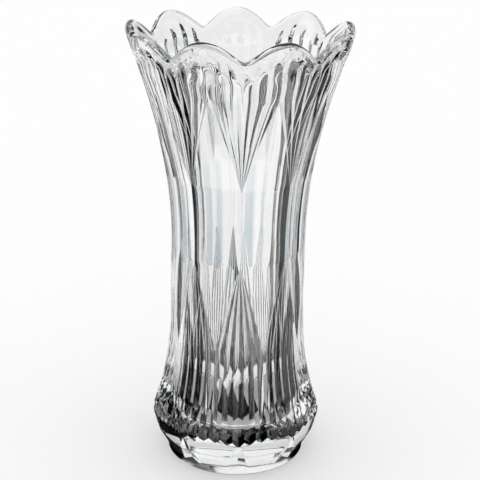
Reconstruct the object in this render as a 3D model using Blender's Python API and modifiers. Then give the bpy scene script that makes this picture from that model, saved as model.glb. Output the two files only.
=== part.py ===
"""Cut crystal vase with a petal rim, in metres, standing on z = 0 with a rim valley facing -Y.

Each piece is a turned blank whose outer skin is then cut: fans of mitred flutes at the top and the
bottom, long hollow panels between them, grooves and facets under the bulge of the heavy base, and a
shallow dish in the outside of each petal.
"""

import math

import bmesh
import bpy

# Outline of the vase, as radii over the ridges of the cuts and heights above the table
VASE_HEIGHT = 0.300
RIM_RADIUS = 0.0762
WAIST_RADIUS = 0.0456
BULGE_RADIUS = 0.0588
BULGE_HEIGHT = 0.0295
SHOULDER_RADIUS = 0.0551
SHOULDER_HEIGHT = 0.017
FOOT_RADIUS = 0.0478
FOOT_HEIGHT = 0.0045
FOOT_EDGE = 0.0006

# How far the bulge's curve reaches up and the rim's flare reaches down, and how sharply they bend
BULGE_REACH = 0.1005
BULGE_POWER = 3.0
FLARE_REACH = 0.140
FLARE_POWER = 1.9

# Glass thickness and the round hollow
WALL = 0.007
RIM_WALL = 0.006
FLOOR_HEIGHT = 0.028
FLOOR_FILLET = 0.008

# Petal rim, with a dish that reaches from the lip to a little way under the rim's joint
PETALS = 9
PETAL_HEIGHT = 0.0121
VALLEY_ROUNDNESS = 0.15
LIP_ROUNDING = 0.003
DISH_DEPTH = 0.0026
DISH_REACH = 0.0122

# Fans of flutes, the middle one on the line of a rim valley: the upper fans hang under the plain band,
# the lower ones rise from the bulge; a flute's power is 1 for a straight V and more for a rounder one
FLUTES_PER_FAN = 5
FLUTE_DEPTH = 0.0022
FLUTE_POWER = 1.2
FLUTE_POINT = 0.004
PLAIN_BAND = 0.0004
UPPER_FAN_MEETING = 0.0218
UPPER_FAN_LENGTH = 0.060
LOWER_FAN_APEX = 0.150
LOWER_FAN_LENGTH = 0.060
LOWER_FAN_POWER = 0.85
PANEL_DEPTH = 0.0008

# Under the bulge: grooves that widen to triangles below the rim valleys, broad facets between them
GROOVE_HALF_ANGLE = math.radians(8.0)
GROOVE_LENGTH = 0.0195
GROOVE_DEPTH = 0.0020
FACET_FLATNESS = 0.5

# Where the three pieces meet
JOINT_GAP = 0.0003
BASE_WALL_RISE = 0.004
RIM_BAND = 0.0008

# Fineness of the mesh
FLUTE_COLUMNS = 4
PANEL_COLUMNS = 2
GROOVE_COLUMNS = 2
PETAL_COLUMNS = 12
LEVEL_SPACING = 0.016
LEVEL_CLOSENESS = 0.001
FLARE_LEVELS = 4
PETAL_STEPS = 4
LIP_STEPS = 4
FILLET_STEPS = 3
WELD_DISTANCE = 0.00001
SHARP_ANGLE = math.radians(25.0)

# Heights and angles worked out from the sizes above
BASE_JOINT = FLOOR_HEIGHT + FLOOR_FILLET + BASE_WALL_RISE
LIP_START = VASE_HEIGHT - LIP_ROUNDING
RIM_JOINT = LIP_START - PETAL_HEIGHT - RIM_BAND
DISH_FOOT = RIM_JOINT - DISH_REACH
FLUTE_TOP = RIM_JOINT - PLAIN_BAND
UPPER_FAN_FULL = FLUTE_TOP - UPPER_FAN_MEETING
UPPER_FAN_TIP = UPPER_FAN_FULL - UPPER_FAN_LENGTH
LOWER_FAN_FULL = LOWER_FAN_APEX - LOWER_FAN_LENGTH
FLARE_START = VASE_HEIGHT - FLARE_REACH
SECTOR = 2.0 * math.pi / PETALS
HALF_SECTOR = SECTOR / 2.0
FAN_COLUMNS = FLUTE_COLUMNS * FLUTES_PER_FAN // 2
HALF_COLUMNS = FAN_COLUMNS + PANEL_COLUMNS


# Outline

def flare_share(z):
    """Share of the rim's flare at a height: 0 at the waist, 1 at the petal tips."""
    return (max(0.0, z - FLARE_START) / FLARE_REACH) ** FLARE_POWER


def wall_ridge(z):
    """Radius over the ridges of the wall, from the bulge to the rim."""
    bulge_share = (max(0.0, BULGE_HEIGHT + BULGE_REACH - z) / BULGE_REACH) ** BULGE_POWER
    bulge = (BULGE_RADIUS - WAIST_RADIUS) * bulge_share
    flare = (RIM_RADIUS - WAIST_RADIUS) * flare_share(z)
    return WAIST_RADIUS + bulge + flare


def facet_ridge(z):
    """Radius over the ridges of the facets, in two slopes that meet at the shoulder."""
    if z < SHOULDER_HEIGHT:
        slope = (SHOULDER_RADIUS - FOOT_RADIUS) / (SHOULDER_HEIGHT - FOOT_HEIGHT)
    else:
        slope = (BULGE_RADIUS - SHOULDER_RADIUS) / (BULGE_HEIGHT - SHOULDER_HEIGHT)
    return SHOULDER_RADIUS + slope * (z - SHOULDER_HEIGHT)


def blank_radius(z):
    """Outer radius of the turned blank before it is cut."""
    return min(wall_ridge(z), max(FOOT_RADIUS, facet_ridge(z)))


def hollow_radius(z):
    """Radius of the round hollow above the fillet of its floor."""
    waist = WAIST_RADIUS - WALL
    return waist + (RIM_RADIUS - RIM_WALL - waist) * flare_share(z)


# Petals and cuts, which repeat at each rim valley; offset is the angle from the valley's line

def petal_drop(offset):
    """How far the lip lies under the petal tips."""
    rise = math.sin(0.5 * math.pi * offset / HALF_SECTOR)
    crest = math.hypot(1.0, VALLEY_ROUNDNESS) - VALLEY_ROUNDNESS
    return PETAL_HEIGHT * (1.0 - (math.hypot(rise, VALLEY_ROUNDNESS) - VALLEY_ROUNDNESS) / crest)


def petal_dish(offset, z):
    """Depth of the dish in the outside of a petal, which fades out towards its edges."""
    lip = LIP_START - petal_drop(offset)
    rise = min(1.0, max(0.0, (z - DISH_FOOT) / (lip - DISH_FOOT)))
    across = math.sin(0.5 * math.pi * offset / HALF_SECTOR)
    return DISH_DEPTH * (math.sin(math.pi * rise) * across) ** 2


def dished_ridge(offset, z):
    """Radius over the ridges of the wall, less the dish of the petal above it."""
    return wall_ridge(z) - petal_dish(offset, z)


def fan_half_angle(z):
    """Half the angle that a fan of flutes covers at a height."""
    upper = (z - UPPER_FAN_TIP) / UPPER_FAN_LENGTH
    lower = (max(0.0, LOWER_FAN_APEX - z) / LOWER_FAN_LENGTH) ** LOWER_FAN_POWER
    return HALF_SECTOR * min(1.0, max(0.0, upper, lower))


def groove_half_angle(z):
    """Half the angle that a groove under the bulge covers at a height."""
    return GROOVE_HALF_ANGLE * min(1.0, max(0.0, BULGE_HEIGHT - z) / GROOVE_LENGTH)


def panel_radius(offset, z):
    """Radius of a panel between two fans: flat from edge to edge, less an even bowl."""
    half_panel = HALF_SECTOR - fan_half_angle(z)
    from_middle = HALF_SECTOR - offset
    flat = dished_ridge(offset, z) * math.cos(half_panel) / math.cos(from_middle)
    if half_panel <= 0.0:
        return flat
    bowl = 1.0 - (from_middle / half_panel) ** 2
    return flat - PANEL_DEPTH * bowl * half_panel / HALF_SECTOR


def flute_radius(offset, z):
    """Radius of a softened V flute, which runs out in a point at its top."""
    fan = fan_half_angle(z)
    half_flute = fan / FLUTES_PER_FAN
    across = abs((offset + half_flute) % (2.0 * half_flute) - half_flute)
    rise = min(1.0, max(0.0, z - (FLUTE_TOP - FLUTE_POINT)) / FLUTE_POINT)
    hollow = max(0.0, 1.0 - rise ** 2 - (across / half_flute) ** FLUTE_POWER)
    return dished_ridge(offset, z) - hollow * FLUTE_DEPTH * fan / HALF_SECTOR


def wall_radius(offset, z):
    """Radius of the cut wall: flutes inside the fans, panels beside them."""
    if offset < fan_half_angle(z):
        return flute_radius(offset, z)
    return panel_radius(offset, z)


def facet_radius(offset, z):
    """Radius under the bulge: V grooves and softly crowned broad facets."""
    ridge = facet_ridge(z)
    groove = groove_half_angle(z)
    if offset < groove:
        return ridge - GROOVE_DEPTH * (groove - offset) / GROOVE_HALF_ANGLE
    flat = math.cos(HALF_SECTOR - groove) / math.cos(HALF_SECTOR - offset)
    return ridge * (1.0 - FACET_FLATNESS * (1.0 - flat))


def outer_radius(offset, z):
    """Radius of the finished outside, where the deeper cut wins above the plain foot."""
    return min(wall_radius(offset, z), max(FOOT_RADIUS, facet_radius(offset, z)))


def column_offset(column, z):
    """Angle from the valley's line of a mesh column, which follows the edges of the cuts."""
    if z < BULGE_HEIGHT:
        edge, edge_column, last_column = groove_half_angle(z), GROOVE_COLUMNS, FAN_COLUMNS
    else:
        edge, edge_column, last_column = fan_half_angle(z), FAN_COLUMNS, HALF_COLUMNS
    if column <= edge_column:
        return edge * column / edge_column
    share = min(1.0, (column - edge_column) / (last_column - edge_column))
    return edge + (HALF_SECTOR - edge) * share


# Outlines of the three blanks, as (radius, height) points that run up the inside and down the outside

def spaced(start, end, steps):
    """Evenly spaced values from start to end, with both ends."""
    return [start + (end - start) * step / steps for step in range(steps + 1)]


def skin_points(bottom, top):
    """Points down the blank's outside, at each height where a cut begins or ends and in between."""
    marks = [FOOT_HEIGHT, BULGE_HEIGHT - GROOVE_LENGTH, SHOULDER_HEIGHT, BULGE_HEIGHT,
             LOWER_FAN_FULL, LOWER_FAN_APEX, UPPER_FAN_TIP, UPPER_FAN_FULL, DISH_FOOT,
             FLUTE_TOP - FLUTE_POINT, FLUTE_TOP - FLUTE_POINT / 2.0, FLUTE_TOP]
    heights = [bottom]
    for mark in sorted(marks) + [top]:
        if mark <= heights[-1] + LEVEL_CLOSENESS or mark > top:
            continue
        if mark < top < mark + LEVEL_CLOSENESS:
            continue
        steps = math.ceil((mark - heights[-1]) / LEVEL_SPACING)
        heights += spaced(heights[-1], mark, steps)[1:]
    return [(blank_radius(z), z) for z in reversed(heights)]


def base_outline():
    """Solid base with the floor of the hollow and its fillet, from axis to axis."""
    top = BASE_JOINT - JOINT_GAP / 2.0
    wall = hollow_radius(BASE_JOINT)
    centre_radius, centre_height = wall - FLOOR_FILLET, FLOOR_HEIGHT + FLOOR_FILLET
    fillet = [(centre_radius + FLOOR_FILLET * math.sin(turn), centre_height - FLOOR_FILLET * math.cos(turn))
              for turn in spaced(0.0, math.pi / 2.0, FILLET_STEPS)]
    underside = [(FOOT_RADIUS - FOOT_EDGE, 0.0), (0.0, 0.0)]
    return [(0.0, FLOOR_HEIGHT)] + fillet + [(wall, top)] + skin_points(FOOT_EDGE, top) + underside


def body_outline():
    """Hollow wall between the two joints, as a closed loop."""
    bottom = BASE_JOINT + JOINT_GAP / 2.0
    top = RIM_JOINT - JOINT_GAP / 2.0
    heights = [bottom] + spaced(max(FLARE_START, bottom + LEVEL_SPACING), top, FLARE_LEVELS)
    return [(hollow_radius(z), z) for z in heights] + skin_points(bottom, top)


def rim_outline():
    """Plain band and rounded lip at the height of the petal tips, as a closed loop."""
    heights = spaced(RIM_JOINT + JOINT_GAP / 2.0, LIP_START, PETAL_STEPS)[:-1]
    inside = [(hollow_radius(z), z) for z in heights]
    outside = [(wall_ridge(z), z) for z in reversed(heights)]
    lip = []
    for turn in spaced(math.pi, 0.0, LIP_STEPS):
        z = LIP_START + LIP_ROUNDING * math.sin(turn)
        share = (1.0 + math.cos(turn)) / 2.0
        lip.append((hollow_radius(z) + share * (wall_ridge(z) - hollow_radius(z)), z))
    return inside + lip + outside


# Cutting

def sector_place(x, y, columns):
    """Valley's angle about Z, side of it and column from it, of a point on a blank.

    Angles are measured from -Y, where the first valley is.
    """
    turn = math.atan2(x, -y)
    valley = round(turn / SECTOR)
    column = round((turn - valley * SECTOR) / SECTOR * columns)
    return valley * SECTOR, math.copysign(1.0, column), abs(column)


def place(vert, turn, radius, z):
    """Move a vertex to an angle from -Y, a radius and a height."""
    vert.co = (radius * math.sin(turn), -radius * math.cos(turn), z)


def cut_skin(mesh):
    """Cut the flutes, panels, grooves and facets into every vertex on a blank's outer skin."""
    for vert in mesh.verts:
        x, y, z = vert.co
        if abs(math.hypot(x, y) - blank_radius(z)) > WELD_DISTANCE:
            continue
        valley, side, column = sector_place(x, y, 2 * HALF_COLUMNS)
        offset = column_offset(column, z)
        place(vert, valley + side * offset, outer_radius(offset, z), z)


def cut_petals(mesh):
    """Lower the rim's lip between the petals, along the flare of the wall, and dish the petals."""
    joint = RIM_JOINT + JOINT_GAP / 2.0
    for vert in mesh.verts:
        x, y, z = vert.co
        radius = math.hypot(x, y)
        valley, side, column = sector_place(x, y, PETAL_COLUMNS)
        offset = column * SECTOR / PETAL_COLUMNS
        depth = (radius - hollow_radius(z)) / (wall_ridge(z) - hollow_radius(z))
        lowered = z - petal_drop(offset) * min(1.0, (z - joint) / (LIP_START - joint))
        inner = hollow_radius(lowered)
        outer = dished_ridge(offset, lowered)
        place(vert, valley + side * offset, inner + depth * (outer - inner), lowered)


# Pieces

def crystal(name):
    """Clear colourless crystal."""
    material = bpy.data.materials.new(name)
    material.use_nodes = True
    shader = material.node_tree.nodes["Principled BSDF"]
    shader.inputs["Base Color"].default_value = (0.96, 0.98, 0.98, 1.0)
    shader.inputs["Roughness"].default_value = 0.02
    shader.inputs["Metallic"].default_value = 0.0
    shader.inputs["IOR"].default_value = 1.53
    shader.inputs["Transmission Weight"].default_value = 1.0
    return material


def turned_mesh(outline, closed, steps):
    """Mesh of an outline turned once round Z from -Y, where the first valley is."""
    mesh = bpy.data.meshes.new("outline")
    count = len(outline)
    edges = [(point, (point + 1) % count) for point in range(count if closed else count - 1)]
    mesh.from_pydata([(0.0, -radius, z) for radius, z in outline], edges, [])
    guide = bpy.data.objects.new("outline", mesh)
    bpy.context.scene.collection.objects.link(guide)
    screw = guide.modifiers.new("Turn", 'SCREW')
    screw.axis = 'Z'
    screw.angle = 2.0 * math.pi
    screw.steps = steps
    screw.render_steps = steps
    screw.use_merge_vertices = True
    screw.merge_threshold = WELD_DISTANCE
    turned = bpy.data.meshes.new_from_object(guide.evaluated_get(bpy.context.evaluated_depsgraph_get()))
    bpy.data.objects.remove(guide)
    return turned


def add_piece(collection, name, outline, closed, steps, cut):
    """Turn a blank, cut it, close its collapsed columns and add it to the vase."""
    mesh = turned_mesh(outline, closed, steps)
    mesh.name = name
    work = bmesh.new()
    work.from_mesh(mesh)
    cut(work)
    bmesh.ops.remove_doubles(work, verts=work.verts[:], dist=WELD_DISTANCE)
    bmesh.ops.recalc_face_normals(work, faces=work.faces[:])
    work.to_mesh(mesh)
    work.free()
    mesh.materials.append(crystal("crystal_" + name))
    mesh.shade_smooth()
    mesh.set_sharp_from_angle(angle=SHARP_ANGLE)
    piece = bpy.data.objects.new(name, mesh)
    collection.objects.link(piece)


def build():
    """Build the vase's three pieces from the table up."""
    for old in list(bpy.data.objects):
        bpy.data.objects.remove(old)
    vase = bpy.data.collections.new("cut_crystal_vase")
    bpy.context.scene.collection.children.link(vase)
    skin_steps = PETALS * 2 * HALF_COLUMNS
    add_piece(vase, "faceted_base", base_outline(), False, skin_steps, cut_skin)
    add_piece(vase, "fluted_body", body_outline(), True, skin_steps, cut_skin)
    add_piece(vase, "petal_rim", rim_outline(), True, PETALS * PETAL_COLUMNS, cut_petals)


build()
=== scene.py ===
"""Looks of the cut crystal vase: one seamless body of polished glass on a pale studio floor."""

import logging
import math
from collections.abc import Iterable
from dataclasses import dataclass, field
from enum import Enum

import bmesh
import bpy
import numpy as np
from mathutils import Matrix, Vector


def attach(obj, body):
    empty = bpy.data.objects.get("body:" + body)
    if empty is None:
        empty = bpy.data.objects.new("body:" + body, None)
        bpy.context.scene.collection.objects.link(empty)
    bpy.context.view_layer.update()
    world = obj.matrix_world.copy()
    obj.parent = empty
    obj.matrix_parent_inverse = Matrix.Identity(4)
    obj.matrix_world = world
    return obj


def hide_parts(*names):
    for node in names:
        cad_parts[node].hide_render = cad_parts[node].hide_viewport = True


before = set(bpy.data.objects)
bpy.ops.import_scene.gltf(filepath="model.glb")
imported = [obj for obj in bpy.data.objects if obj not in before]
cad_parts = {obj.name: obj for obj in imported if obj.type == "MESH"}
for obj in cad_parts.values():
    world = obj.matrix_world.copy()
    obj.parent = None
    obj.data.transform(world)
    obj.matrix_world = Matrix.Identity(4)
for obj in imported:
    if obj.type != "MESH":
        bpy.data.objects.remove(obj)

LOG = logging.getLogger("vase")
CAD_NODES = ("faceted_base", "fluted_body", "petal_rim")

# Keeps a division by a width of nothing defined, and a test at an edge steady
TINY = 1e-9

# A ray's diffuse depth lies under this until it has met a matt surface
NO_MATT_BOUNCE = 0.5


def add_math(tree: bpy.types.NodeTree, operation: str, first: bpy.types.NodeSocket,
             second: bpy.types.NodeSocket | float | None = None) -> bpy.types.NodeSocket:
    """Add a Math node.

    Args:
        tree: Tree to add it to.
        operation: Name of the operation.
        first: Socket for the first input.
        second: Socket or number for the second input, if it has one.

    Returns:
        The node's output socket.
    """
    node = tree.nodes.new("ShaderNodeMath")
    node.operation = operation
    tree.links.new(first, node.inputs[0])
    if isinstance(second, float):
        node.inputs[1].default_value = second
    elif second is not None:
        tree.links.new(second, node.inputs[1])
    return node.outputs["Value"]


def add_range(tree: bpy.types.NodeTree, value: bpy.types.NodeSocket, source: tuple[float, float],
              target: tuple[float, float] = (0.0, 1.0), smooth: bool = False) -> bpy.types.NodeSocket:
    """Add a Map Range node.

    Args:
        tree: Tree to add it to.
        value: Socket of the value.
        source: Values that give the two ends of the target.
        target: Results at those values.
        smooth: True for a smooth step between them, False for a straight line.

    Returns:
        The node's output socket.
    """
    node = tree.nodes.new("ShaderNodeMapRange")
    node.interpolation_type = 'SMOOTHSTEP' if smooth else 'LINEAR'
    for name, number in zip(("From Min", "From Max", "To Min", "To Max"), source + target):
        node.inputs[name].default_value = number
    tree.links.new(value, node.inputs["Value"])
    return node.outputs["Result"]


def add_noise(tree: bpy.types.NodeTree, place: bpy.types.NodeSocket, scale: float,
              detail: float) -> bpy.types.NodeSocket:
    """Add a Noise Texture node.

    Args:
        tree: Tree to add it to.
        place: Socket of the coordinates.
        scale: Scale of the noise, in lumps to the metre.
        detail: Layers of finer noise on it.

    Returns:
        The socket of its grey value.
    """
    node = tree.nodes.new("ShaderNodeTexNoise")
    node.inputs["Scale"].default_value = scale
    node.inputs["Detail"].default_value = detail
    tree.links.new(place, node.inputs["Vector"])
    return node.outputs["Fac"]


class Zone(Enum):
    """Stretches of the vase's skin, in the order in which the rings of its mesh run."""

    UNDERSIDE = "underside"
    FOOT = "foot"
    SLOPE = "slope"
    FACETS = "facets"
    BULGE = "bulge"
    WALL = "wall"
    POINTS = "points"
    BAND = "band"
    LIP = "lip"
    HOLLOW = "hollow"
    FLOOR = "floor"


@dataclass(frozen=True)
class Outline:
    """Turned outline of the vase: radii over the ridges of the cuts, and heights, in metres."""

    height: float = 0.300
    rim_radius: float = 0.0761
    waist_radius: float = 0.0456
    bulge_radius: float = 0.0588
    bulge_height: float = 0.0295
    shoulder_radius: float = 0.0551
    shoulder_height: float = 0.017
    foot_radius: float = 0.0478
    foot_height: float = 0.0045
    foot_edge: float = 0.0006
    bulge_reach: float = 0.1005
    bulge_power: float = 3.0
    flare_reach: float = 0.140
    flare_power: float = 1.9
    wall: float = 0.007
    rim_wall: float = 0.006
    floor_height: float = 0.028
    floor_fillet: float = 0.008

    def flare_share(self, z: np.ndarray) -> np.ndarray:
        """Share of the rim's flare: height above the waist over the flare's reach, to a power."""
        start = self.height - self.flare_reach
        return (np.clip(z - start, 0.0, None) / self.flare_reach) ** self.flare_power

    def wall_ridge(self, z: np.ndarray) -> np.ndarray:
        """Radius over the wall's ridges: the waist, plus the bulge's curve, plus the rim's flare.

        Args:
            z: Heights above the table.

        Returns:
            Radii, of the same shape as z.
        """
        below = np.clip(self.bulge_height + self.bulge_reach - z, 0.0, None)
        bulge = (self.bulge_radius - self.waist_radius) * (below / self.bulge_reach) ** self.bulge_power
        flare = (self.rim_radius - self.waist_radius) * self.flare_share(z)
        return self.waist_radius + bulge + flare

    def facet_ridge(self, z: np.ndarray) -> np.ndarray:
        """Radius over the facets' ridges: two straight slopes that meet at the shoulder.

        Args:
            z: Heights above the table.

        Returns:
            Radii, of the same shape as z.
        """
        lower = (self.shoulder_radius - self.foot_radius) / (self.shoulder_height - self.foot_height)
        upper = (self.bulge_radius - self.shoulder_radius) / (self.bulge_height - self.shoulder_height)
        slope = np.where(z < self.shoulder_height, lower, upper)
        return self.shoulder_radius + slope * (z - self.shoulder_height)

    def hollow_radius(self, z: np.ndarray) -> np.ndarray:
        """Radius of the round hollow: its waist, plus its own share of the flare."""
        waist = self.waist_radius - self.wall
        return waist + (self.rim_radius - self.rim_wall - waist) * self.flare_share(z)


@dataclass(frozen=True)
class CutPattern:
    """Cuts that repeat at each rim valley, as angles from the valley's line and heights in metres."""

    outline: Outline = field(default_factory=Outline)
    petals: int = 9
    petal_height: float = 0.0121
    valley_roundness: float = 0.15
    lip_rounding: float = 0.003
    rim_band: float = 0.0008
    flutes_per_fan: int = 5
    flute_depth: float = 0.0022
    flute_power: float = 1.2
    flute_point: float = 0.012
    flute_rise: float = 0.008
    plain_band: float = 0.0004
    upper_fan_meeting: float = 0.0218
    upper_fan_length: float = 0.060
    lower_fan_apex: float = 0.150
    lower_fan_length: float = 0.060
    lower_fan_power: float = 0.85
    groove_half_angle: float = math.radians(8.0)
    groove_length: float = 0.0195
    groove_depth: float = 0.0020
    facet_flatness: float = 0.5
    panel_depth: float = 0.0008
    dish_depth: float = 0.0026
    dish_reach: float = 0.0122
    halvings: int = 40

    @property
    def half_sector(self) -> float:
        """Half the angle from one rim valley to the next."""
        return math.pi / self.petals

    @property
    def lip_start(self) -> float:
        """Height where the rounding of the lip starts at the petal tips."""
        return self.outline.height - self.lip_rounding

    @property
    def rim_joint(self) -> float:
        """Height from which the rim is lowered between the petals."""
        return self.lip_start - self.petal_height - self.rim_band

    @property
    def dish_foot(self) -> float:
        """Height of the lower end of the petals' dishes."""
        return self.rim_joint - self.dish_reach

    @property
    def flute_top(self) -> float:
        """Height of the upper flutes' points."""
        return self.rim_joint - self.plain_band

    @property
    def upper_fan_full(self) -> float:
        """Height above which neighbouring upper fans meet."""
        return self.flute_top - self.upper_fan_meeting

    @property
    def upper_fan_tip(self) -> float:
        """Height of the upper fan's pointed lower end."""
        return self.upper_fan_full - self.upper_fan_length

    @property
    def lower_fan_full(self) -> float:
        """Height below which neighbouring lower fans meet."""
        return self.lower_fan_apex - self.lower_fan_length

    def fan_angle(self, z: np.ndarray) -> np.ndarray:
        """Half the angle that a fan covers: a straight V above the waist, a bowed one below it.

        Args:
            z: Heights above the table.

        Returns:
            Angles in radians, from 0 at the waist to half a sector.
        """
        upper = (z - self.upper_fan_tip) / self.upper_fan_length
        below = np.clip(self.lower_fan_apex - z, 0.0, None)
        lower = (below / self.lower_fan_length) ** self.lower_fan_power
        return self.half_sector * np.clip(np.maximum(upper, lower), 0.0, 1.0)

    def groove_angle(self, z: np.ndarray) -> np.ndarray:
        """Half the angle that a groove under the bulge covers, growing evenly downwards."""
        below = self.outline.bulge_height - z
        return self.groove_half_angle * np.clip(below / self.groove_length, 0.0, 1.0)

    def flute_end(self, offset: np.ndarray, z: np.ndarray) -> np.ndarray:
        """Share of a flute's depth: 1 along the flute, less the square of the rise to its point.

        The points follow the petals: they lie highest in the middle of a petal.

        Args:
            offset: Angles from the valley's line.
            z: Heights above the table.

        Returns:
            Shares from 0 to 1, of the same shape as the arguments.
        """
        top = self.flute_top + self.flute_rise * (1.0 - self.petal_drop(offset) / self.petal_height)
        rise = np.clip((z - top) / self.flute_point + 1.0, 0.0, 1.0)
        return 1.0 - rise ** 2

    def wall_radius(self, offset: np.ndarray, z: np.ndarray) -> np.ndarray:
        """Radius of the cut wall: softened V flutes inside the fans, bowed panels beside them.

        A flute's depth falls with the distance from its middle to a power. A panel is a chord from
        edge to edge, less a bowl that falls with the square of the distance from its middle.

        Args:
            offset: Angles from the valley's line.
            z: Heights above the table.

        Returns:
            Radii, of the same shape as the arguments.
        """
        ridge = self.outline.wall_ridge(z) - self.petal_dish(offset, z)
        fan = self.fan_angle(z)
        panel = ridge * np.cos(self.half_sector - fan) / np.cos(self.half_sector - offset)
        breadth = np.maximum(self.half_sector - fan, TINY)
        bowl = np.clip(1.0 - ((self.half_sector - offset) / breadth) ** 2, 0.0, 1.0)
        panel = panel - self.panel_depth * bowl * breadth / self.half_sector
        half_flute = np.maximum(fan, TINY) / self.flutes_per_fan
        across = np.abs(np.mod(offset + half_flute, 2.0 * half_flute) - half_flute)
        hollow = self.flute_end(offset, z) - (across / half_flute) ** self.flute_power
        flute = ridge - np.clip(hollow, 0.0, 1.0) * self.flute_depth * fan / self.half_sector
        return np.where((offset >= fan - TINY) & (fan < self.half_sector), panel, flute)

    def facet_radius(self, offset: np.ndarray, z: np.ndarray) -> np.ndarray:
        """Radius under the bulge: V grooves and softly crowned broad facets.

        A groove's depth falls evenly from its middle line to its edge. A facet lies part of the way
        from the round ridge to a flat chord.

        Args:
            offset: Angles from the valley's line.
            z: Heights above the table.

        Returns:
            Radii, of the same shape as the arguments.
        """
        ridge = self.outline.facet_ridge(z)
        groove = self.groove_angle(z)
        narrow = ridge - self.groove_depth * (groove - offset) / self.groove_half_angle
        flat = np.cos(self.half_sector - groove) / np.cos(self.half_sector - offset)
        broad = ridge * (1.0 - self.facet_flatness * (1.0 - flat))
        return np.where(offset < groove, narrow, broad)

    def petal_drop(self, offset: np.ndarray) -> np.ndarray:
        """How far the lip lies under the petal tips: a sine of the offset with a rounded valley.

        Args:
            offset: Angles from the valley's line.

        Returns:
            Drops in metres, from the petal's height in the valley to 0 at the tip.
        """
        rise = np.sin(0.5 * math.pi * offset / self.half_sector)
        crest = math.hypot(1.0, self.valley_roundness) - self.valley_roundness
        share = (np.hypot(rise, self.valley_roundness) - self.valley_roundness) / crest
        return self.petal_height * (1.0 - share)

    def petal_dish(self, offset: np.ndarray, z: np.ndarray) -> np.ndarray:
        """Depth of the shallow dish in the outside of each petal.

        It is the square of two sines: of the height between the dish's foot and the lip, and of
        the angle from the valley to the petal's middle.

        Args:
            offset: Angles from the valley's line.
            z: Heights above the table.

        Returns:
            Depths in metres, of the same shape as the arguments.
        """
        lip = self.lip_start - self.petal_drop(offset)
        rise = np.clip((z - self.dish_foot) / (lip - self.dish_foot), 0.0, 1.0)
        across = np.sin(0.5 * math.pi * offset / self.half_sector)
        return self.dish_depth * (np.sin(math.pi * rise) * across) ** 2

    def meeting_height(self, offset: np.ndarray, low: float, high: float,
                       with_wall: bool) -> np.ndarray:
        """Height where the facets meet the wall above them or the foot below them, by halving.

        Args:
            offset: Angles from the valley's line.
            low: Height under every meeting.
            high: Height over every meeting.
            with_wall: True for the wall above, False for the foot below.

        Returns:
            Heights, of the same shape as offset.
        """
        bottom = np.full_like(offset, low)
        top = np.full_like(offset, high)
        for _ in range(self.halvings):
            middle = 0.5 * (bottom + top)
            limit = self.wall_radius(offset, middle) if with_wall else self.outline.foot_radius
            under = self.facet_radius(offset, middle) < limit
            bottom = np.where(under, middle, bottom)
            top = np.where(under, top, middle)
        return 0.5 * (bottom + top)


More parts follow.
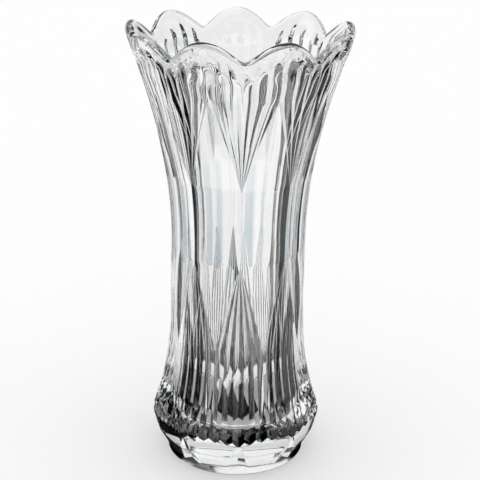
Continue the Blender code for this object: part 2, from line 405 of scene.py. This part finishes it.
@dataclass(frozen=True)
class CrystalFinish:
    """Clear polished crystal: low waves from the polishing wheel, thin absorption, a scuffed foot.

    Polish and haze are the roughness of its best and its dullest patches.
    """

    ior: float = 1.545
    tint: tuple[float, float, float] = (1.0, 1.0, 1.0)
    absorbed: tuple[float, float, float] = (0.86, 0.93, 0.94)
    absorption: float = 1.5
    polish: float = 0.0
    haze: float = 0.003
    wave_scale: float = 40.0
    wave_detail: float = 1.0
    wave_height: float = 0.00012
    patch_detail: float = 2.0
    patch_range: tuple[float, float] = (0.35, 0.75)
    scuff_height: float = 0.0009
    scuff_roughness: float = 0.12
    scratch_scale: float = 900.0
    scratch_detail: float = 3.0

    def material(self, name: str) -> bpy.types.Material:
        """Build the node material.

        Args:
            name: Name of the material.

        Returns:
            The material, with its glass surface and its thin absorption.
        """
        material = bpy.data.materials.new(name)
        material.use_nodes = True
        tree = material.node_tree
        shader = tree.nodes["Principled BSDF"]
        shader.inputs["Base Color"].default_value = (*self.tint, 1.0)
        shader.inputs["IOR"].default_value = self.ior
        shader.inputs["Transmission Weight"].default_value = 1.0
        place = tree.nodes.new("ShaderNodeTexCoord").outputs["Object"]
        self._wave(tree, place, shader)
        self._scuff(tree, place, shader)
        self._absorb(tree)
        return material

    def _wave(self, tree: bpy.types.NodeTree, place: bpy.types.NodeSocket,
              shader: bpy.types.Node) -> None:
        """Add the low waves left by grinding and polishing, as a bump from soft noise.

        Args:
            tree: Tree of the material.
            place: Socket of the object's coordinates.
            shader: Shader that takes the bump.
        """
        bump = tree.nodes.new("ShaderNodeBump")
        bump.inputs["Strength"].default_value = 1.0
        bump.inputs["Distance"].default_value = self.wave_height
        noise = add_noise(tree, place, self.wave_scale, self.wave_detail)
        tree.links.new(noise, bump.inputs["Height"])
        tree.links.new(bump.outputs["Normal"], shader.inputs["Normal"])

    def _scuff(self, tree: bpy.types.NodeTree, place: bpy.types.NodeSocket,
               shader: bpy.types.Node) -> None:
        """Add the roughness: a patchy polish, and fine scratches where the foot rubs the table.

        Args:
            tree: Tree of the material.
            place: Socket of the object's coordinates.
            shader: Shader that takes the roughness.
        """
        split = tree.nodes.new("ShaderNodeSeparateXYZ")
        tree.links.new(place, split.inputs["Vector"])
        worn = add_range(tree, split.outputs["Z"], (self.scuff_height, 0.0))
        scratch = add_noise(tree, place, self.scratch_scale, self.scratch_detail)
        marks = add_math(tree, 'MULTIPLY', worn, scratch)
        depth = add_range(tree, marks, (0.0, 1.0), (0.0, self.scuff_roughness))
        patch = add_noise(tree, place, self.wave_scale, self.patch_detail)
        polish = add_range(tree, patch, self.patch_range, (self.polish, self.haze))
        tree.links.new(add_math(tree, 'ADD', depth, polish), shader.inputs["Roughness"])

    def _absorb(self, tree: bpy.types.NodeTree) -> None:
        """Add thin absorption, so that thick glass is a little darker and cooler than thin glass.

        Args:
            tree: Tree of the material.
        """
        volume = tree.nodes.new("ShaderNodeVolumeAbsorption")
        volume.inputs["Color"].default_value = (*self.absorbed, 1.0)
        volume.inputs["Density"].default_value = self.absorption
        output = tree.nodes["Material Output"]
        tree.links.new(volume.outputs["Volume"], output.inputs["Volume"])


@dataclass
class CrystalVase:
    """The vase's glass: one closed skin whose rings run from under the foot to the inner floor.

    Above the settled height the rings no longer follow the wavy edge of the bulge.
    """

    pattern: CutPattern = field(default_factory=CutPattern)
    finish: CrystalFinish = field(default_factory=CrystalFinish)
    flute_columns: int = 6
    panel_columns: int = 6
    groove_columns: int = 5
    settled_height: float = 0.060
    least_rings: int = 2
    weld: float = 0.000002
    sharp_angle: float = math.radians(22.0)
    zone_rings: dict[Zone, int] = field(default_factory=lambda: {
        Zone.UNDERSIDE: 4, Zone.FOOT: 4, Zone.SLOPE: 12, Zone.FACETS: 14, Zone.BULGE: 16,
        Zone.WALL: 96, Zone.POINTS: 8, Zone.BAND: 24, Zone.LIP: 14, Zone.HOLLOW: 44, Zone.FLOOR: 12})

    @property
    def fan_columns(self) -> int:
        """Mesh columns across half a fan."""
        return self.flute_columns * self.pattern.flutes_per_fan // 2

    @property
    def half_columns(self) -> int:
        """Mesh columns across half a sector."""
        return self.fan_columns + self.panel_columns

    def columns(self) -> tuple[np.ndarray, np.ndarray, np.ndarray]:
        """Mesh columns round the vase.

        Returns:
            The angle of each column's valley, the side of it, and the column's count from it.
        """
        count = np.arange(-self.half_columns, self.half_columns)
        valleys = np.arange(self.pattern.petals) * 2.0 * self.pattern.half_sector
        valley = np.repeat(valleys, count.size)
        signed = np.tile(count, self.pattern.petals)
        return valley, np.sign(signed), np.abs(signed)

    def offsets(self, column: np.ndarray, z: np.ndarray) -> np.ndarray:
        """Angles of the columns from their valley's line, so that the columns follow the cuts' edges.

        They take even steps to the edge of the cut, then even steps to the middle of the petal.

        Args:
            column: Column counts, as a row.
            z: Ring heights, as a column of numbers.

        Returns:
            Angles, one row for each ring.
        """
        half = self.pattern.half_sector
        under = z < self.pattern.outline.bulge_height - TINY
        edge = np.where(under, self.pattern.groove_angle(z), self.pattern.fan_angle(z))
        edge_column = np.where(under, self.groove_columns, self.fan_columns)
        last = np.where(under, self.fan_columns, self.half_columns)
        inside = edge * column / edge_column
        share = np.clip((column - edge_column) / (last - edge_column), 0.0, 1.0)
        return np.where(column <= edge_column, inside, edge + (half - edge) * share)

    def rings(self) -> tuple[np.ndarray, np.ndarray, np.ndarray]:
        """Offset, radius and height of every grid point, ring by ring from pole to pole.

        Returns:
            Three arrays with one row for each ring and one column for each mesh column.
        """
        column = self.columns()[2][None, :]
        zones = [self._underside(column), self._facets(column), self._wall(column),
                 self._lip(column), self._hollow(column)]
        return tuple(np.concatenate(part) for part in zip(*zones))

    def _steps(self, zone: Zone, first: bool = False) -> np.ndarray:
        """Even steps through a zone as a column of numbers up to 1, from 0 only in a first zone."""
        count = self.zone_rings[zone]
        return np.linspace(0.0, 1.0, count + 1)[0 if first else 1:, None]

    def _underside(self, column: np.ndarray) -> tuple[np.ndarray, np.ndarray, np.ndarray]:
        """Flat underside: rings of even steps out to the foot's small edge.

        Args:
            column: Column counts, as a row.

        Returns:
            Offsets, radii and heights, one row for each ring.
        """
        outline = self.pattern.outline
        step = self._steps(Zone.UNDERSIDE, first=True)
        offset = self.offsets(column, np.zeros_like(step))
        radius = np.broadcast_to((outline.foot_radius - outline.foot_edge) * step, offset.shape)
        return offset, radius, np.zeros_like(radius)

    def _facets(self, column: np.ndarray) -> tuple[np.ndarray, np.ndarray, np.ndarray]:
        """Foot, slope and facets: even shares of the heights between the lines where they meet.

        Args:
            column: Column counts, as a row.

        Returns:
            Offsets, radii and heights, one row for each ring.
        """
        outline, pattern = self.pattern.outline, self.pattern
        foot, slope, facet = (self._steps(zone) for zone in (Zone.FOOT, Zone.SLOPE, Zone.FACETS))
        shoulder, bulge = outline.shoulder_height, outline.bulge_height
        nominal = np.concatenate([foot * outline.foot_height,
                                  outline.foot_height + slope * (shoulder - outline.foot_height),
                                  shoulder + facet * (bulge - shoulder)])
        offset = self.offsets(column, nominal)
        foot_line = pattern.meeting_height(offset, 0.0, shoulder, with_wall=False)
        wall_line = pattern.meeting_height(offset, shoulder, bulge + shoulder, with_wall=True)
        foot_end = foot.shape[0]
        slope_end = foot_end + slope.shape[0]
        edge_share = (foot - foot[0]) / (1.0 - foot[0])
        sloped_from = foot_line[foot_end:slope_end]
        z = np.concatenate([outline.foot_edge + edge_share * (foot_line[:foot_end] - outline.foot_edge),
                            sloped_from + slope * (shoulder - sloped_from),
                            shoulder + facet * (wall_line[slope_end:] - shoulder)])
        radius = np.maximum(outline.foot_radius, pattern.facet_radius(offset, z))
        return offset, radius, z

    def _wall(self, column: np.ndarray) -> tuple[np.ndarray, np.ndarray, np.ndarray]:
        """Wall from bulge to lip: even steps between the heights where a cut starts or ends.

        Low rings follow the wavy edge of the bulge, and high ones are lowered between the petals.

        Args:
            column: Column counts, as a row.

        Returns:
            Offsets, radii and heights, one row for each ring.
        """
        outline, pattern = self.pattern.outline, self.pattern
        point_foot = pattern.flute_top - pattern.flute_point
        marks = [outline.bulge_height, self.settled_height, pattern.lower_fan_full,
                 pattern.lower_fan_apex, pattern.upper_fan_tip, pattern.upper_fan_full, point_foot]
        shares = np.diff(marks[1:]) / (marks[-1] - marks[1])
        counts = [max(self.least_rings, round(share * self.zone_rings[Zone.WALL])) for share in shares]
        counts.insert(0, self.zone_rings[Zone.BULGE])
        stretches = [np.linspace(low, high, count + 1)[1:]
                     for low, high, count in zip(marks[:-1], marks[1:], counts)]
        points = np.linspace(point_foot, pattern.flute_top, self.zone_rings[Zone.POINTS] + 1)[1:]
        band = np.linspace(pattern.flute_top, pattern.lip_start, self.zone_rings[Zone.BAND] + 1)[1:-1]
        nominal = np.concatenate(stretches + [points, band])[:, None]
        offset = self.offsets(column, nominal)
        edge = pattern.meeting_height(offset, outline.shoulder_height,
                                      outline.bulge_height + outline.shoulder_height, with_wall=True)
        share = np.clip((marks[1] - nominal) / (marks[1] - marks[0]), 0.0, 1.0)
        z = nominal + share * (edge - outline.bulge_height)
        z = self._lowered(offset, z)
        return offset, pattern.wall_radius(offset, z), z

    def _lowered(self, offset: np.ndarray, z: np.ndarray) -> np.ndarray:
        """Heights lowered by the petals' drop, in full at the lip and not at all under the band.

        Args:
            offset: Angles from the valley's line.
            z: Heights on a rim with no petals.

        Returns:
            Heights on the petal rim.
        """
        joint, lip_start = self.pattern.rim_joint, self.pattern.lip_start
        return z - self.pattern.petal_drop(offset) * np.clip((z - joint) / (lip_start - joint), 0.0, 1.0)

    def _lip(self, column: np.ndarray) -> tuple[np.ndarray, np.ndarray, np.ndarray]:
        """Fire-polished lip: half an ellipse from the outside over the top to the inside.

        Args:
            column: Column counts, as a row.

        Returns:
            Offsets, radii and heights, one row for each ring.
        """
        outline = self.pattern.outline
        turn = math.pi * self._steps(Zone.LIP, first=True)
        blank = outline.height - self.pattern.lip_rounding * (1.0 - np.sin(turn))
        offset = self.offsets(column, blank)
        z = self._lowered(offset, np.broadcast_to(blank, offset.shape))
        start = self._lowered(offset, np.full_like(offset, self.pattern.lip_start))
        inner = outline.hollow_radius(start)
        radius = inner + 0.5 * (1.0 + np.cos(turn)) * (outline.wall_ridge(start) - inner)
        return offset, radius, z

    def _hollow(self, column: np.ndarray) -> tuple[np.ndarray, np.ndarray, np.ndarray]:
        """Round hollow: down the wall, round the quarter circle of the fillet and in to the axis.

        Args:
            column: Column counts, as a row.

        Returns:
            Offsets, radii and heights, one row for each ring.
        """
        outline = self.pattern.outline
        lip_start = self.pattern.lip_start
        foot = outline.floor_height + outline.floor_fillet
        blank = lip_start + self._steps(Zone.HOLLOW) * (foot - lip_start)
        offset = self.offsets(column, np.full_like(blank, lip_start))
        z = self._lowered(offset, np.broadcast_to(blank, offset.shape))
        turn = 0.5 * math.pi * self._steps(Zone.FLOOR)
        waist = outline.waist_radius - outline.wall
        bend = waist - outline.floor_fillet * (1.0 - np.cos(turn))
        sink = foot - outline.floor_fillet * np.sin(turn)
        flat = (waist - outline.floor_fillet) * (1.0 - self._steps(Zone.UNDERSIDE))
        rim = np.zeros_like(offset[:1])
        radius = np.concatenate([outline.hollow_radius(z), bend + rim, flat + rim])
        height = np.concatenate([z, sink + rim, np.full_like(flat, outline.floor_height) + rim])
        return np.repeat(offset[:1], radius.shape[0], axis=0), radius, height

    def mesh(self, name: str) -> bpy.types.Mesh:
        """Turn the grid into a closed mesh: radius and angle from -Y give x and y.

        Args:
            name: Name of the mesh.

        Returns:
            The mesh, with collapsed columns welded and sharp edges between the cuts.
        """
        valley, side, _ = self.columns()
        offset, radius, z = self.rings()
        angle = valley[None, :] + side[None, :] * offset
        points = np.stack([radius * np.sin(angle), -radius * np.cos(angle), z], axis=-1).reshape(-1, 3)
        count_rings, count_columns = radius.shape
        ring = np.arange(count_rings - 1)[:, None] * count_columns
        column = np.arange(count_columns)[None, :]
        after = (column + 1) % count_columns
        quads = np.stack([ring + column, ring + after, ring + count_columns + after,
                          ring + count_columns + column], axis=-1).reshape(-1, 4)
        mesh = bpy.data.meshes.new(name)
        mesh.from_pydata(points.tolist(), [], quads.tolist())
        work = bmesh.new()
        work.from_mesh(mesh)
        bmesh.ops.remove_doubles(work, verts=work.verts[:], dist=self.weld)
        bmesh.ops.recalc_face_normals(work, faces=work.faces[:])
        work.to_mesh(mesh)
        work.free()
        mesh.shade_smooth()
        mesh.set_sharp_from_angle(angle=self.sharp_angle)
        return mesh

    def build(self) -> bpy.types.Object:
        """Build and dress the vase, and tie it to the frame.

        Returns:
            The vase's object, which stands for all three solids of the frame.
        """
        mesh = self.mesh("vase_glass")
        mesh.materials.append(self.finish.material("polished_crystal"))
        vase = bpy.data.objects.new("vase_glass", mesh)
        bpy.context.scene.collection.objects.link(vase)
        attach(vase, "root")
        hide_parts(*CAD_NODES)
        return vase


@dataclass(frozen=True)
class Card:
    """One matt card: an arc between two turns from -Y towards +X, in degrees, over a span of radii.

    A card with a height stands upright at its outer radius; one without lies on the floor.
    """

    first: float
    last: float
    inner_radius: float
    outer_radius: float
    height: float = 0.0
    strength: float = 1.0
    soft_angle: float = 4.0
    tone: tuple[float, float, float] = (0.004, 0.004, 0.004)
    outer_share: float = 1.0

    def points(self, steps: int, lift: float) -> np.ndarray:
        """Grid of the card: sine and cosine of the turn times the radius, at a height that sweeps up.

        Args:
            steps: Steps along the arc.
            lift: Height of the card's lower edge.

        Returns:
            Points in pairs, from the inner or lower edge to the outer or upper one.
        """
        across = np.array([0.0, 1.0])
        flat = self.inner_radius + across * (self.outer_radius - self.inner_radius)
        reach = np.where(self.height > 0.0, self.outer_radius, flat)
        angle = np.radians(np.linspace(self.first, self.last, steps + 1))[:, None]
        z = lift + across * self.height + np.zeros_like(angle)
        grid = np.stack([np.sin(angle) * reach, -np.cos(angle) * reach, z], axis=-1)
        return grid.reshape(-1, 3)

    def cover(self, steps: int) -> np.ndarray:
        """How much the card covers at each point: its strength times a smooth step in from its ends.

        Its outer or upper edge has only a share of that.

        Args:
            steps: Steps along the arc.

        Returns:
            Numbers from 0 to 1, one for each point.
        """
        turn = np.linspace(self.first, self.last, steps + 1)
        inside = np.clip(np.minimum(turn - self.first, self.last - turn) / self.soft_angle, 0.0, 1.0)
        along = self.strength * inside ** 2 * (3.0 - 2.0 * inside)
        return np.outer(along, [1.0, self.outer_share]).ravel()


@dataclass(frozen=True)
class DarkCards:
    """Cards round the vase that only glass and gloss see: black walls and mats, and pale veils.

    Each is an arc from one turn to another, in degrees. The mats lie on the floor in three rings.
    """

    walls: tuple[tuple[float, float], ...] = ((55.0, 155.0), (236.0, 257.0), (283.0, 355.0))
    near_mats: tuple[tuple[float, float], ...] = ((54.0, 134.0), (237.0, 306.0))
    middle_mats: tuple[tuple[float, float], ...] = ((52.0, 146.0), (235.0, 370.0))
    far_mats: tuple[tuple[float, float], ...] = ((55.0, 150.0), (218.0, 257.0), (283.0, 370.0))
    veil: tuple[float, float] = (175.0, 218.0)
    veil_strength: float = 0.70
    back_veil: tuple[float, float] = (155.0, 236.0)
    back_veil_strength: float = 0.08
    veil_softness: float = 14.0
    veil_tone: tuple[float, float, float] = (0.42, 0.54, 0.61)
    near_radius: float = 0.28
    middle_radius: float = 0.60
    outer_radius: float = 1.20
    height: float = 1.00
    lift: float = 0.0001
    steps: int = 48

    def cards(self) -> list[Card]:
        """List the cards.

        Returns:
            The walls, then the mats from the vase outwards, then the veils on the floor and behind it.
        """
        walls = [Card(*arc, self.outer_radius, self.outer_radius, self.height) for arc in self.walls]
        near = [Card(*arc, 0.0, self.near_radius) for arc in self.near_mats]
        middle = [Card(*arc, self.near_radius, self.middle_radius) for arc in self.middle_mats]
        far = [Card(*arc, self.middle_radius, self.outer_radius) for arc in self.far_mats]
        veils = [Card(*self.veil, self.near_radius, self.outer_radius, 0.0,
                      self.veil_strength, self.veil_softness, self.veil_tone, outer_share=0.0),
                 Card(*self.back_veil, self.outer_radius, self.outer_radius, self.height,
                      self.back_veil_strength, self.veil_softness)]
        return walls + near + middle + far + veils

    def build(self) -> bpy.types.Object:
        """Build the cards as one mesh of strips.

        Returns:
            The cards' object, which is part of the stage.
        """
        cards = self.cards()
        points = np.concatenate([card.points(self.steps, self.lift) for card in cards])
        cover = np.concatenate([card.cover(self.steps) for card in cards])
        card_points = 2 * (self.steps + 1)
        tone = np.repeat(np.array([card.tone for card in cards]), card_points, axis=0)
        corners = np.array([0, 1, 3, 2])
        quads = 2 * np.arange(self.steps)[:, None] + corners
        start = np.arange(len(cards))[:, None, None] * card_points
        mesh = bpy.data.meshes.new("dark_cards")
        mesh.from_pydata(points.tolist(), [], (quads + start).reshape(-1, 4).tolist())
        mesh.attributes.new("cover", 'FLOAT', 'POINT').data.foreach_set("value", cover)
        mesh.attributes.new("tone", 'FLOAT_VECTOR', 'POINT').data.foreach_set("vector", tone.ravel())
        mesh.materials.append(self._material())
        stage = bpy.data.objects.new("dark_cards", mesh)
        stage.visible_camera = False
        stage.visible_diffuse = False
        stage.visible_shadow = False
        bpy.context.scene.collection.objects.link(stage)
        return stage

    def _material(self) -> bpy.types.Material:
        """Build the matt card's material.

        Returns:
            A material in each card's own tone, which fades out where its cover does.
        """
        material = bpy.data.materials.new("matt_card")
        material.use_nodes = True
        tree = material.node_tree
        shader = tree.nodes["Principled BSDF"]
        shader.inputs["Roughness"].default_value = 1.0
        shader.inputs["Specular IOR Level"].default_value = 0.0
        tone = tree.nodes.new("ShaderNodeAttribute")
        tone.attribute_name = "tone"
        tree.links.new(tone.outputs["Color"], shader.inputs["Base Color"])
        cover = tree.nodes.new("ShaderNodeAttribute")
        cover.attribute_name = "cover"
        path = tree.nodes.new("ShaderNodeLightPath")
        direct = add_math(tree, 'LESS_THAN', path.outputs["Diffuse Depth"], NO_MATT_BOUNCE)
        tree.links.new(add_math(tree, 'MULTIPLY', cover.outputs["Fac"], direct), shader.inputs["Alpha"])
        return material


@dataclass(frozen=True)
class Studio:
    """Pale floor, white room, cards, and the camera at the photograph's angle.

    The ceiling's shade starts at a sine of the height angle and blends in over a little more.
    """

    floor_size: float = 12.0
    floor_gap: float = 0.0002
    floor_colour: tuple[float, float, float] = (0.99, 0.99, 0.99)
    cards: DarkCards = field(default_factory=DarkCards)
    room: float = 1.0
    ceiling: float = 0.004
    dark_from: float = 0.35
    dark_blend: float = 0.10
    camera_turn: float = math.radians(-2.25)
    camera_distance: float = 0.798
    camera_pitch: float = math.radians(19.66)
    camera_roll: float = math.radians(0.85)
    aim_height: float = 0.1536
    aim_side: float = 0.0014
    lens: float = 88.2
    bounces: int = 32

    def build(self) -> None:
        """Set up the floor, the room, the cards, the camera and the light paths that glass needs."""
        self._floor()
        self._room()
        self.cards.build()
        self._camera()
        scene = bpy.context.scene
        scene.view_settings.view_transform = 'Standard'
        scene.cycles.max_bounces = self.bounces
        scene.cycles.transmission_bounces = self.bounces
        scene.cycles.glossy_bounces = self.bounces
        scene.cycles.transparent_max_bounces = self.bounces

    def _floor(self) -> None:
        """Matt pale floor, a hair under the vase."""
        half = self.floor_size / 2.0
        mesh = bpy.data.meshes.new("floor")
        corners = [(-half, -half), (half, -half), (half, half), (-half, half)]
        mesh.from_pydata([(x, y, -self.floor_gap) for x, y in corners], [], [(0, 1, 2, 3)])
        material = bpy.data.materials.new("floor_paper")
        material.use_nodes = True
        shader = material.node_tree.nodes["Principled BSDF"]
        shader.inputs["Base Color"].default_value = (*self.floor_colour, 1.0)
        shader.inputs["Roughness"].default_value = 1.0
        shader.inputs["Specular IOR Level"].default_value = 0.0
        mesh.materials.append(material)
        floor = bpy.data.objects.new("floor", mesh)
        bpy.context.scene.collection.objects.link(floor)

    def _room(self) -> None:
        """White room; glass and gloss see its ceiling in a shade of its own."""
        world = bpy.data.worlds.new("studio")
        world.use_nodes = True
        bpy.context.scene.world = world
        tree = world.node_tree
        backdrop = tree.nodes["Background"]
        place = tree.nodes.new("ShaderNodeTexCoord")
        split = tree.nodes.new("ShaderNodeSeparateXYZ")
        tree.links.new(place.outputs["Generated"], split.inputs["Vector"])
        dark_full = self.dark_from + self.dark_blend
        overhead = add_range(tree, split.outputs["Z"], (self.dark_from, dark_full), smooth=True)
        path = tree.nodes.new("ShaderNodeLightPath")
        seen = add_math(tree, 'MAXIMUM', path.outputs["Is Glossy Ray"],
                        path.outputs["Is Transmission Ray"])
        direct = add_math(tree, 'LESS_THAN', path.outputs["Diffuse Depth"], NO_MATT_BOUNCE)
        shade = add_math(tree, 'MULTIPLY', overhead, add_math(tree, 'MULTIPLY', seen, direct))
        colour = add_range(tree, shade, (0.0, 1.0), (self.room, self.ceiling))
        tree.links.new(colour, backdrop.inputs["Color"])

    def _camera(self) -> None:
        """Camera that looks down at the vase from the front, a little turned and rolled."""
        ahead = Vector((-math.sin(self.camera_turn) * math.cos(self.camera_pitch),
                        math.cos(self.camera_turn) * math.cos(self.camera_pitch),
                        -math.sin(self.camera_pitch)))
        level = Vector((math.cos(self.camera_turn), math.sin(self.camera_turn), 0.0))
        upward = level.cross(ahead)
        right = level * math.cos(self.camera_roll) + upward * math.sin(self.camera_roll)
        top = upward * math.cos(self.camera_roll) - level * math.sin(self.camera_roll)
        aim = Vector((0.0, 0.0, self.aim_height)) + level * self.aim_side
        eye = aim - ahead * self.camera_distance
        data = bpy.data.cameras.new("camera")
        data.lens = self.lens
        camera = bpy.data.objects.new("camera", data)
        turned = Matrix((right, top, -ahead)).transposed()
        camera.matrix_world = Matrix.Translation(eye) @ turned.to_4x4()
        bpy.context.scene.collection.objects.link(camera)
        bpy.context.scene.camera = camera


def main() -> None:
    """Build the vase and the studio, and log how many faces the vase has."""
    logging.basicConfig(level=logging.INFO, format="%(name)s: %(message)s")
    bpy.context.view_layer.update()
    vase = CrystalVase().build()
    LOG.info("%s: %d faces of polished crystal", vase.name, len(vase.data.polygons))
    Studio().build()
    LOG.info("studio: floor, room, cards and camera")


if __name__ == "__main__":
    main()
